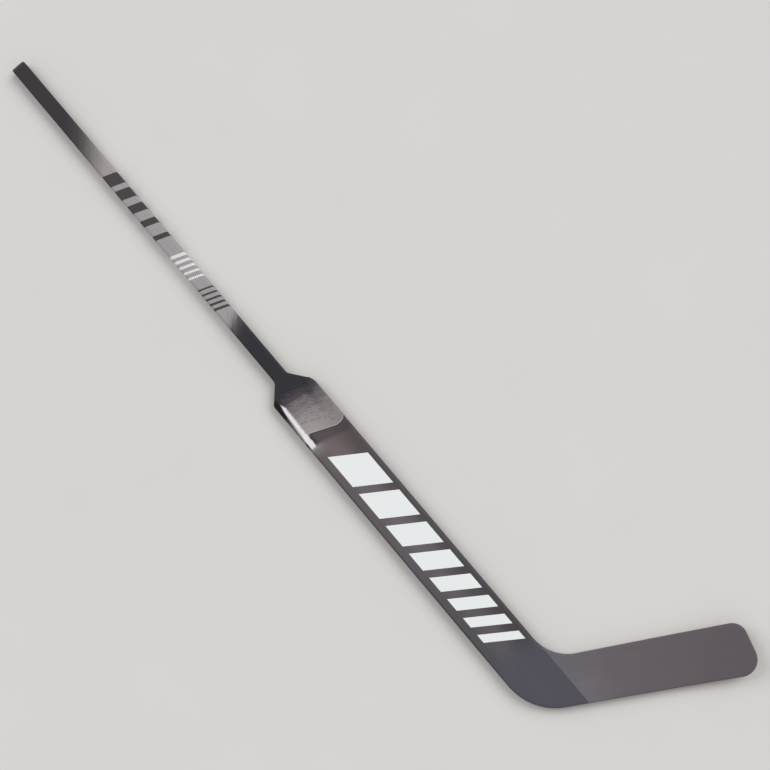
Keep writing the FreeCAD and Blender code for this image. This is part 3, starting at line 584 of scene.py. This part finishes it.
def bright_strip(add, spot, x, y):
    """Mask of the painted highlight beside the bevel: a point, soft ragged sides and an end that
    fades.
    """
    line = {name: leaning(add, level, x, slope) for name, (slope, level) in STRIP_LINES.items()}
    teeth = clouds(add, spot, 0.003, 0.003, 0, 0.0008)
    inside = line["leg"]
    for step, other in (("MINIMUM", STRIP_LEG), ("MAXIMUM", line["side"]),
                        ("MINIMUM", line["tip"]), ("ADD", teeth), ("SUBTRACT", y)):
        inside = add("ShaderNodeMath", {0: inside, 1: other}, operation=step)
    outer = add("ShaderNodeMath", {0: line["steep"], 1: line["slow"]}, operation="MAXIMUM")
    outer = add("ShaderNodeMath", {0: outer, 1: line["wide"]}, operation="MINIMUM")
    past = add("ShaderNodeMath", {0: y, 1: outer}, operation="SUBTRACT")
    # The sides are softest half way down
    hard, soft = STRIP_SIDES
    opening, closing = (
        add("ShaderNodeMapRange", {"Value": x, 1: start, 2: end, 3: first, 4: last})
        for start, end, first, last in (
            (*STRIP_SOFTENS, hard, soft), (*STRIP_HARDENS, soft, hard)))
    width = add("ShaderNodeMath", {0: opening, 1: closing}, operation="MINIMUM")
    before = add("ShaderNodeMath", {0: width, 1: -1}, operation="MULTIPLY")
    mask = add("ShaderNodeMapRange", {"Value": x, 1: STRIP_END[0], 2: STRIP_END[1]}, **EASED)
    for depth in (inside, past):
        reached = add("ShaderNodeMapRange", {"Value": depth, 1: before, 2: width}, **EASED)
        mask = add("ShaderNodeMath", {0: mask, 1: reached}, operation="MULTIPLY")
    return mask


def panel_finish(look, name, face):
    """Satin film, screen printed: dark at the neck, silver at the foot, and a strip of painted
    highlight.
    """
    material, add, spot, x, y = new_finish(name)
    fade = print_fade(add, spot, x, y)
    tone = toned(add, fade, look.mauve, *(
        (getattr(look, stage), *span) for stage, span in PANEL_STAGES.items()))
    toe_side = add("ShaderNodeMapRange", {"Value": y, 1: PANEL_TOE_SIDE[0], 2: PANEL_TOE_SIDE[1]})
    tone = add("ShaderNodeMix", {"Factor": toe_side, "A": tone, "B": look.toe_side},
               blend_type="MULTIPLY")
    tone = toned(add, fade, look.dark, (tone, *DARK_END))
    # Past the foot, the side of the leg next to the paddle's middle takes a painted shade of its
    # step
    beside = add("ShaderNodeMath", {0: y, 1: LEG_SIDE}, operation="LESS_THAN")
    past = add("ShaderNodeMath", {0: x, 1: LEG_START}, operation="GREATER_THAN")
    step = add("ShaderNodeMath", {0: beside, 1: past}, operation="MULTIPLY")
    # Painted shade of the leg's step, and the bright strip of painted highlight
    for mask, colour in ((step, look.step), (bright_strip(add, spot, x, y), look.streak)):
        tone = add("ShaderNodeMix", {"Factor": mask, "A": tone, "B": colour})
    # Painted shade: the raised lines' copy of the film takes a darker share of the tone
    edged = rim_shade(add, tone, 1.0, 1.0, face)
    # Print grain of half a millimetre, drawn twice as coarse so that it shows
    grain, shade = speckled(add, spot, 0.001, 2, edged, 0.05)
    rough = add("ShaderNodeMapRange", {"Value": grain, 1: NOISE_LOW, 2: NOISE_HIGH, 3: 0.4, 4: 0.5})
    return finished(material, shade, rough, (grain, 0.15, 0.0001), shine=SATIN)


def blade_finish(look):
    """Satin lacquer over laid carbon skins: warm grey, darker towards the toe as painted shade."""
    material, add, spot, _, _ = new_finish("satin_lacquer_on_blade_skins")
    run = add("ShaderNodeVectorMath", {0: spot, 1: tuple(HEEL_CORNER)}, operation="SUBTRACT")
    along_sole = (math.cos(SOLE_ANGLE), math.sin(SOLE_ANGLE), 0)
    up_from_sole = (-math.sin(SOLE_ANGLE), math.cos(SOLE_ANGLE), 0)
    sole, height = (add("ShaderNodeVectorMath", {0: run, 1: way},
                        operation="DOT_PRODUCT").outputs["Value"]
                    for way in (along_sole, up_from_sole))
    drift = clouds(add, spot, 0.07, 0.07, 0, 0.03)
    along = add("ShaderNodeMath", {0: sole, 1: drift}, operation="ADD")
    root = toned(add, height, look.root, (look.root_top, *BLADE_ROOT))
    # Darker towards the toe: painted shade
    tone = toned(add, along, root, (look.middle, *BLADE_MIDDLE), (look.toe, *BLADE_TOE))
    # Painted shade on the rounded edges
    edged = rim_shade(add, tone, look.edge, look.edge)
    return laid_fibres(material, add, spot, SOLE_ANGLE, edged)


def plug_finish(look):
    """Moulded ABS with a spark-eroded grain: even, dark and slightly rough."""
    material, add, spot, _, _ = new_finish("moulded_abs_plug")
    grain, shade = speckled(add, spot, 0.0008, 2, look.plug, 0.1)
    rough = add("ShaderNodeMapRange", {
        "Value": grain, 1: NOISE_LOW, 2: NOISE_HIGH, 3: 0.48, 4: 0.6})
    return finished(material, shade, rough, (grain, 0.3, 0.0002))


def foam_finish():
    """Rigid polyurethane foam, cut to shape: cream, with cells of about a millimetre."""
    material, add, spot, _, _ = new_finish("cut_polyurethane_foam")
    cells = add("ShaderNodeTexVoronoi", {"Vector": spot, "Scale": 1 / 0.001})
    tone = add("ShaderNodeMix", {"Factor": cells, "A": srgb("cdbf9c"), "B": srgb("e6dcc0")})
    return finished(material, tone, 0.9, (cells, 0.5, 0.0004))


def wood_finish():
    """Aspen, sawn along the grain: pale, with fine darker lines every few millimetres."""
    material, add, spot, _, _ = new_finish("sawn_aspen")
    laid = add("ShaderNodeMapping", {"Vector": spot, "Scale": (0.05, 0.003, 0.003)})
    grain = add("ShaderNodeTexNoise", {"Vector": laid, "Scale": 1, "Detail": 5})
    tone = add("ShaderNodeMix", {"Factor": grain, "A": srgb("b99a6b"), "B": srgb("e2cda2")})
    return finished(material, tone, 0.65, (grain, 0.2, 0.0004))


def web_finish():
    """Glass and epoxy sheet: translucent green-grey with a plain weave of 1.5 mm."""
    material, add, spot, _, _ = new_finish("woven_glass_epoxy")
    weave = add("ShaderNodeTexBrick", {
        "Vector": spot, "Color1": srgb("5d6355"), "Color2": srgb("6d7363"),
        "Mortar": srgb("4a4f44"), "Scale": 1 / 0.003, "Mortar Size": 0.04})
    return finished(material, weave, 0.4)


def ink_finish(look):
    """Screen printed white ink: a thick even film with a faint weave from the screen."""
    material, add, spot, _, _ = new_finish("screen_printed_white_ink")
    # A 0.3 mm screen mesh is drawn as 1 mm so that it shows
    mesh, shade = speckled(add, spot, 0.001, 1, look.ink, 0.02)
    return finished(material, shade, 0.4, (mesh, 0.1, 0.0001))


def line_finish(look):
    """A fine raised line round the foot of the grip panel, pale as a painted highlight on its edge.
    """
    material, add, spot, _, _ = new_finish("raised_silver_ink")
    _, shade = speckled(add, spot, 0.0008, 1, look.line, 0.07)
    return finished(material, shade, 0.35)


def board_finish(look):
    """Matt painted board: pale, with a barely uneven coat."""
    material, add, spot, _, _ = new_finish("matt_painted_board")
    _, shade = speckled(add, spot, 0.2, 3, look.floor, 0.01)
    return finished(material, shade, 0.9, shine=0.1)


def new_tree(name, **inputs):
    """A geometry tree with inputs, named by kind; gives it, what adds its nodes, and the inputs."""
    tree = bpy.data.node_groups.new(name, "GeometryNodeTree")
    tree.interface.new_socket("Geometry", in_out="OUTPUT", socket_type="NodeSocketGeometry")
    for kind, sockets in inputs.items():
        for socket in sockets:
            tree.interface.new_socket(socket, in_out="INPUT", socket_type=f"NodeSocket{kind}")
    add = partial(add_node, tree)
    return tree, add, add("NodeGroupInput").outputs


def round_line(add, path, radius, sides):
    """A smooth round line along curves."""
    profile = add("GeometryNodeCurvePrimitiveCircle", {"Resolution": sides, "Radius": radius})
    swept = add("GeometryNodeCurveToMesh", {
        "Curve": path, "Profile Curve": profile, "Fill Caps": True})
    return add("GeometryNodeSetShadeSmooth", {0: swept})


def close_tree(tree, shape, finish):
    """End a geometry tree with plain geometry in its finish."""
    whole = add_node(tree, "GeometryNodeRealizeInstances", {"Geometry": shape})
    dressed = add_node(tree, "GeometryNodeSetMaterial", {"Geometry": whole, "Material": finish})
    add_node(tree, "NodeGroupOutput", {0: dressed})
    return tree


def ridge_tree():
    """Rows of fine raised lines: sheared, waved, broken and dropped along a ray on to a surface."""
    tree, add, given = new_tree(
        "ridge_tree", Object=("Surface",), Int=("Rows", "Points"), Vector=("Start", "Ray"),
        Float=("Pitch", "Step", "Lean", "Wave height", "Wave length", "Gaps", "Thinning",
               "Gap length", "Radius", "Lift", "Ray length", "Steepest"), Material=("Finish",))
    along, down = (add("ShaderNodeCombineXYZ", {axis: given[size]})
                   for axis, size in (("Y", "Step"), ("X", "Pitch")))
    row = add("GeometryNodeMeshLine", {"Count": given["Points"], "Offset": along})
    starts = add("GeometryNodeMeshLine", {"Count": given["Rows"], "Offset": down})
    rows = add("GeometryNodeInstanceOnPoints", {"Points": starts, "Instance": row})
    loose = add("GeometryNodeRealizeInstances", {"Geometry": rows})
    spot = add("GeometryNodeInputPosition")
    axes = add("ShaderNodeSeparateXYZ", {0: spot}).outputs
    shear = add("ShaderNodeMath", {0: axes["Y"], 1: given["Lean"]}, operation="MULTIPLY")
    # The swing of neighbouring lines is nearly in step, so they stay clear of each other
    phase = add("ShaderNodeMath", {0: axes["X"], 1: SWING_DRIFT, 2: axes["Y"]},
                operation="MULTIPLY_ADD")
    turns = add("ShaderNodeMath", {0: phase, 1: given["Wave length"]}, operation="DIVIDE")
    angle = add("ShaderNodeMath", {0: turns, 1: math.tau}, operation="MULTIPLY")
    swing = add("ShaderNodeMath", {0: angle}, operation="SINE")
    moved = add("ShaderNodeMath", {0: swing, 1: given["Wave height"], 2: shear},
                operation="MULTIPLY_ADD")
    offset = add("ShaderNodeCombineXYZ", {"X": moved})
    placed = add("ShaderNodeVectorMath", {0: offset, 1: given["Start"]}, operation="ADD")
    laid = add("GeometryNodeSetPosition", {"Geometry": loose, "Offset": placed})
    target = add("GeometryNodeObjectInfo", {"Object": given["Surface"]})
    ray = add("GeometryNodeRaycast", {
        "Target Geometry": target.outputs["Geometry"], "Ray Direction": given["Ray"],
        "Ray Length": given["Ray length"]}).outputs
    level = add("ShaderNodeVectorMath", {0: ray["Hit Normal"], 1: given["Ray"]},
                operation="DOT_PRODUCT").outputs["Value"]
    # Points that hit nothing or a face turned away go, and so do those in bare patches
    turned_away = add("FunctionNodeCompare", {"A": level, "B": given["Steepest"]},
                      operation="GREATER_THAN")
    off = add("FunctionNodeBooleanMath", {0: ray["Is Hit"], 1: turned_away}, operation="IMPLY")
    grain = add("ShaderNodeMath", {0: 1, 1: given["Gap length"]}, operation="DIVIDE")
    patches = add("ShaderNodeTexNoise", {"Vector": spot, "Scale": grain, "Detail": 1})
    thinned = add("ShaderNodeMath", {0: axes["X"], 1: given["Thinning"], 2: given["Gaps"]},
                  operation="MULTIPLY_ADD")
    bare = add("FunctionNodeCompare", {"A": patches, "B": thinned}, operation="LESS_THAN")
    off = add("FunctionNodeBooleanMath", {0: off, 1: bare}, operation="OR")
    kept = add("GeometryNodeDeleteGeometry", {"Geometry": laid, "Selection": off})
    lift = add("ShaderNodeVectorMath", {0: ray["Hit Normal"], "Scale": given["Lift"]},
               operation="SCALE")
    fallen = add("GeometryNodeSetPosition", {
        "Geometry": kept, "Offset": lift, "Position": ray["Hit Position"]})
    path = add("GeometryNodeMeshToCurve", {"Mesh": fallen})
    return close_tree(tree, round_line(add, path, given["Radius"], 8), given["Finish"])


def foot_line_tree():
    """A fine round line along the sharp upper edge of a piece, past a given place."""
    tree, add, given = new_tree("foot_line_tree", Object=("Surface",), Material=("Finish",),
                                Float=("Past X", "Past Y", "Above", "Radius"))
    target = add("GeometryNodeObjectInfo", {"Object": given["Surface"]})
    merged = add("GeometryNodeMergeByDistance", {
        "Geometry": target.outputs["Geometry"], "Distance": ONE_POINT})
    axes = add("ShaderNodeSeparateXYZ", {0: add("GeometryNodeInputPosition")}).outputs
    bend = add("GeometryNodeInputMeshEdgeAngle").outputs["Unsigned Angle"]
    chosen = add("FunctionNodeCompare", {"A": bend, "B": SHARP}, operation="GREATER_THAN")
    for axis, limit in (("X", "Past X"), ("Y", "Past Y"), ("Z", "Above")):
        past = add("FunctionNodeCompare", {"A": axes[axis], "B": given[limit]},
                   operation="GREATER_THAN")
        chosen = add("FunctionNodeBooleanMath", {0: chosen, 1: past}, operation="AND")
    path = add("GeometryNodeMeshToCurve", {"Mesh": merged, "Selection": chosen})
    return close_tree(tree, round_line(add, path, given["Radius"], 10), given["Finish"])


def bar_tree():
    """A row of slanting bars, each a share of the length of the one before."""
    tree, add, given = new_tree(
        "bar_tree", Int=("Count",), Vector=("Start",), Material=("Finish",),
        Float=("First", "Share", "Gap", "Width", "Film", "Lean"))
    number = add("GeometryNodeInputIndex")
    shrink = add("ShaderNodeMath", {0: given["Share"], 1: number}, operation="POWER")
    long = add("ShaderNodeMath", {0: given["First"], 1: shrink}, operation="MULTIPLY")
    # The bars before this one add up to first * (1 - share ^ number) / (1 - share)
    taken, left = (add("ShaderNodeMath", {0: 1, 1: part}, operation="SUBTRACT")
                   for part in (shrink, given["Share"]))
    series = add("ShaderNodeMath", {0: taken, 1: left}, operation="DIVIDE")
    inked = add("ShaderNodeMath", {0: series, 1: given["First"]}, operation="MULTIPLY")
    reach = add("ShaderNodeMath", {0: number, 1: given["Gap"], 2: inked}, operation="MULTIPLY_ADD")
    row = add("GeometryNodeMeshLine", {"Count": given["Count"]})
    spread = add("GeometryNodeSetPosition", {
        "Geometry": row, "Position": add("ShaderNodeCombineXYZ", {"X": reach})})
    block = add("GeometryNodeMeshCube", {"Size": (1, 1, 1)})
    cornered = add("GeometryNodeTransform", {"Geometry": block, "Translation": (0.5, 0.5, 0.5)})
    scale = add("ShaderNodeCombineXYZ", {"X": long, "Y": given["Width"], "Z": given["Film"]})
    bars = add("GeometryNodeInstanceOnPoints", {
        "Points": spread, "Instance": cornered, "Scale": scale})
    whole = add("GeometryNodeRealizeInstances", {"Geometry": bars})
    axes = add("ShaderNodeSeparateXYZ", {0: add("GeometryNodeInputPosition")}).outputs
    shear = add("ShaderNodeMath", {0: axes["Y"], 1: given["Lean"]}, operation="MULTIPLY")
    offset = add("ShaderNodeVectorMath", {
        0: add("ShaderNodeCombineXYZ", {"X": shear}), 1: given["Start"]}, operation="ADD")
    leant = add("GeometryNodeSetPosition", {"Geometry": whole, "Offset": offset})
    return close_tree(tree, leant, given["Finish"])


def grown_piece(name, make_tree, values):
    """The result of a geometry tree, made once, as a plain mesh that rides on the stick."""
    tree = bpy.data.node_groups.get(make_tree.__name__) or make_tree()
    piece = new_object(name, bpy.data.meshes.new(name))
    shape = piece.modifiers.new("shape", "NODES")
    shape.node_group = tree
    for socket in tree.interface.items_tree:
        if socket.in_out == "INPUT":
            shape[socket.identifier] = values[socket.name]
    graph = bpy.context.evaluated_depsgraph_get()
    mesh = bpy.data.meshes.new_from_object(piece.evaluated_get(graph), depsgraph=graph)
    if not mesh.polygons:
        raise RuntimeError(f"{name} came out empty")
    piece.modifiers.remove(shape)
    piece.data = mesh
    mesh.name = name
    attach(piece, "root")
    return piece


class PaintShaft(bpy.types.Operator):
    """Lacquer the shaft and finish its plug"""

    bl_idname = "goalie_stick.paint_shaft"
    bl_label = "Paint the shaft"

    def execute(self, context):
        settings = context.scene.goalie_stick.shaft
        dress(shaft_finish(settings, "satin_lacquer_on_carbon_shaft", 1.0), "shaft_tube")
        dress(plug_finish(settings), "end_plug")
        return {"FINISHED"}


class PaintPaddle(bpy.types.Operator):
    """Lacquer the shoulder, paddle and heel"""

    bl_idname = "goalie_stick.paint_paddle"
    bl_label = "Paint the paddle"

    def execute(self, context):
        settings = context.scene.goalie_stick
        finish = paddle_finish(settings.paddle, settings.blade)
        dress(finish, "paddle_front_shell", "paddle_back_shell")
        return {"FINISHED"}


class PaintBlade(bpy.types.Operator):
    """Lacquer the blade"""

    bl_idname = "goalie_stick.paint_blade"
    bl_label = "Paint the blade"

    def execute(self, context):
        finish = blade_finish(context.scene.goalie_stick.blade)
        dress(finish, "blade_front_shell", "blade_back_shell")
        return {"FINISHED"}


class FinishInside(bpy.types.Operator):
    """Finish the foam, wood and web that the skins close in"""

    bl_idname = "goalie_stick.finish_inside"
    bl_label = "Finish the inside"

    def execute(self, context):
        dress(foam_finish(), "paddle_core_heel_side", "paddle_core_toe_side", "blade_core_upper",
              "blade_core_lower")
        dress(wood_finish(), "heel_block", "blade_tenon")
        dress(web_finish(), "blade_web")
        return {"FINISHED"}


class GripPanel(bpy.types.Operator):
    """Print the grip panel and raise its fine lines"""

    bl_idname = "goalie_stick.grip_panel"
    bl_label = "Make the grip panel"

    def execute(self, context):
        settings = context.scene.goalie_stick
        sizes = settings.ridges
        panel = settings.panel
        dress(panel_finish(panel, "printed_grip_film", 1.0), "shoulder_grip_panel")
        surface = NODES["shoulder_grip_panel"]
        lean = math.tan(PANEL_LEAN)
        low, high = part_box("shoulder_grip_panel")
        across = high.y - sizes.panel_start
        start = low.x - lean * across
        grown_piece("panel_ridges", ridge_tree, {
            "Surface": surface, "Rows": math.ceil((sizes.panel_end - start) / sizes.panel_pitch),
            "Pitch": sizes.panel_pitch, "Lean": lean, "Points": PANEL_POINTS,
            "Step": across / (PANEL_POINTS - 1),
            "Wave height": sizes.wave_height, "Wave length": sizes.wave_length,
            "Gaps": sizes.gaps, "Thinning": sizes.thinning, "Gap length": sizes.gap_length,
            "Radius": sizes.panel_radius, "Lift": sizes.panel_height - sizes.panel_radius,
            "Start": (start, sizes.panel_start, high.z + sizes.panel_pitch), "Ray": (0, 0, -1),
            "Ray length": high.z - low.z + sizes.panel_pitch, "Steepest": PANEL_STEEPEST,
            # The lines' copy of the film is darker, as painted shade
            "Finish": panel_finish(panel, "printed_grip_film_on_lines", panel.ridge)})
        grown_piece("panel_foot_line", foot_line_tree, {
            "Surface": surface, "Past X": sizes.line_start, "Past Y": sizes.panel_start,
            "Above": high.z - sizes.line_radius / 4, "Radius": sizes.line_radius,
            "Finish": line_finish(panel)})
        return {"FINISHED"}


class ShaftRidges(bpy.types.Operator):
    """Raise the fine slanting lines on both broad sides of the shaft's silver middle"""

    bl_idname = "goalie_stick.shaft_ridges"
    bl_label = "Raise the shaft's lines"

    def execute(self, context):
        settings = context.scene.goalie_stick
        sizes = settings.ridges
        shaft = settings.shaft
        low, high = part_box("shaft_tube")
        across = high.y - low.y
        span = shaft.fade_out - shaft.fade_in
        pitch = sizes.shaft_pitch
        # The lines' copy of the lacquer is darker, as painted shade
        finish = shaft_finish(shaft, "satin_lacquer_on_shaft_lines", shaft.line)
        for name, ray, level in (("shaft_ridges_front", -1, high.z + pitch),
                                 ("shaft_ridges_back", 1, low.z - pitch)):
            grown_piece(name, ridge_tree, {
                "Surface": NODES["shaft_tube"], "Rows": round(span / pitch), "Pitch": pitch,
                "Points": SHAFT_POINTS, "Step": across / (SHAFT_POINTS - 1),
                "Lean": -math.tan(SHAFT_LEAN), "Wave height": 0.0, "Gaps": 0.0, "Thinning": 0.0,
                "Wave length": sizes.wave_length, "Gap length": sizes.gap_length,
                "Radius": sizes.shaft_radius, "Lift": sizes.shaft_height - sizes.shaft_radius,
                "Start": (shaft.fade_in, low.y, level), "Ray": (0, 0, ray),
                "Ray length": high.z - low.z + pitch, "Steepest": SHAFT_STEEPEST,
                "Finish": finish})
        return {"FINISHED"}


class PaddleBars(bpy.types.Operator):
    """Print the graduated bars on both sides of the paddle"""

    bl_idname = "goalie_stick.paddle_bars"
    bl_label = "Print the bars"

    def execute(self, context):
        sizes = context.scene.goalie_stick.bars
        finish = ink_finish(sizes)
        lean = math.tan(sizes.lean)
        for name, level in (("paddle_bars_front", FACE - sizes.film / 2),
                            ("paddle_bars_back", BACK - sizes.film / 2)):
            grown_piece(name, bar_tree, {
                "Count": sizes.count, "First": sizes.first, "Share": sizes.share,
                "Gap": sizes.gap, "Width": sizes.high - sizes.low, "Film": sizes.film,
                "Lean": lean, "Start": (sizes.start + lean * sizes.low, sizes.low, level),
                "Finish": finish})
        return {"FINISHED"}


class SetStage(bpy.types.Operator):
    """Lay the floor, hang the lamps and stand the camera where the photograph was taken"""

    bl_idname = "goalie_stick.set_stage"
    bl_label = "Set the stage"

    def lay_floor(self, settings):
        reach = settings.floor_reach
        level = CAD_BOX[0][2] - settings.floor_gap
        mesh = bpy.data.meshes.new("floor")
        corners = [(-reach, -reach, level), (reach, -reach, level), (reach, reach, level),
                   (-reach, reach, level)]
        mesh.from_pydata(corners, [], [(0, 1, 2, 3)])
        mesh.materials.append(board_finish(settings))
        floor = new_object("floor", mesh)

    def hang_lamp(self, name, power, width, place):
        lamp = bpy.data.lights.new(name, "SUN")
        lamp.energy = power
        lamp.angle = width
        hung = new_object(name, lamp)
        hung.location = place
        hung.rotation_euler = (-place).to_track_quat("-Z", "Y").to_euler()

    def light_sky(self, settings):
        """Even light, which looks as pale as the floor where it is seen past it."""
        world = bpy.data.worlds.new("even_sky")
        world.use_nodes = True
        tree = world.node_tree
        add = partial(add_node, tree)
        path = add("ShaderNodeLightPath").outputs
        seen = path["Is Camera Ray"]
        for ray in ("Is Glossy Ray", "Is Transmission Ray"):
            seen = add("ShaderNodeMath", {0: seen, 1: path[ray]}, operation="MAXIMUM")
        level = add("ShaderNodeMapRange", {"Value": seen, 3: settings.sky, 4: settings.backdrop})
        join(tree, tree.nodes["Background"], {"Color": (1, 1, 1), "Strength": level})
        bpy.context.scene.world = world

    def stand_camera(self, settings):
        camera = bpy.data.cameras.new("camera")
        camera.lens = settings.lens
        camera.sensor_width = 36
        camera.clip_end = 100
        stand = new_object("camera", camera)
        stand.location = settings.camera_place
        stand.rotation_euler = settings.camera_turn
        bpy.context.scene.camera = stand

    def execute(self, context):
        settings = context.scene.goalie_stick.studio
        self.lay_floor(settings)
        self.hang_lamp("key_lamp", settings.key, settings.lamp_width, settings.key_place)
        self.hang_lamp("fill_lamp", settings.fill, settings.lamp_width, settings.fill_place)
        self.light_sky(settings)
        self.stand_camera(settings)
        context.scene.view_settings.view_transform = "Standard"
        return {"FINISHED"}


class StickPanel(bpy.types.Panel):
    """The steps that finish the stick, in order"""

    bl_idname = "VIEW3D_PT_goalie_stick"
    bl_label = "Goalie stick"
    bl_space_type = "VIEW_3D"
    bl_region_type = "UI"
    bl_category = "Goalie stick"

    def draw(self, context):
        for step in STEPS:
            self.layout.operator(step.bl_idname)


GROUPS = (ShaftPaint, PaddlePaint, PanelPaint, BladePaint, RidgeSizes, BarSizes, StudioSettings,
          StickSettings)
STEPS = (PaintShaft, PaintPaddle, PaintBlade, FinishInside, GripPanel, ShaftRidges, PaddleBars,
         SetStage)


def register():
    for item in (*GROUPS, *STEPS, StickPanel):
        bpy.utils.register_class(item)
    bpy.types.Scene.goalie_stick = PointerProperty(type=StickSettings)


def unregister():
    del bpy.types.Scene.goalie_stick
    for item in reversed((*GROUPS, *STEPS, StickPanel)):
        bpy.utils.unregister_class(item)


def main():
    """Finish the stick step by step."""
    register()
    for step in STEPS:
        group, name = step.bl_idname.split(".")
        getattr(getattr(bpy.ops, group), name)()


if __name__ == "__main__":
    main()
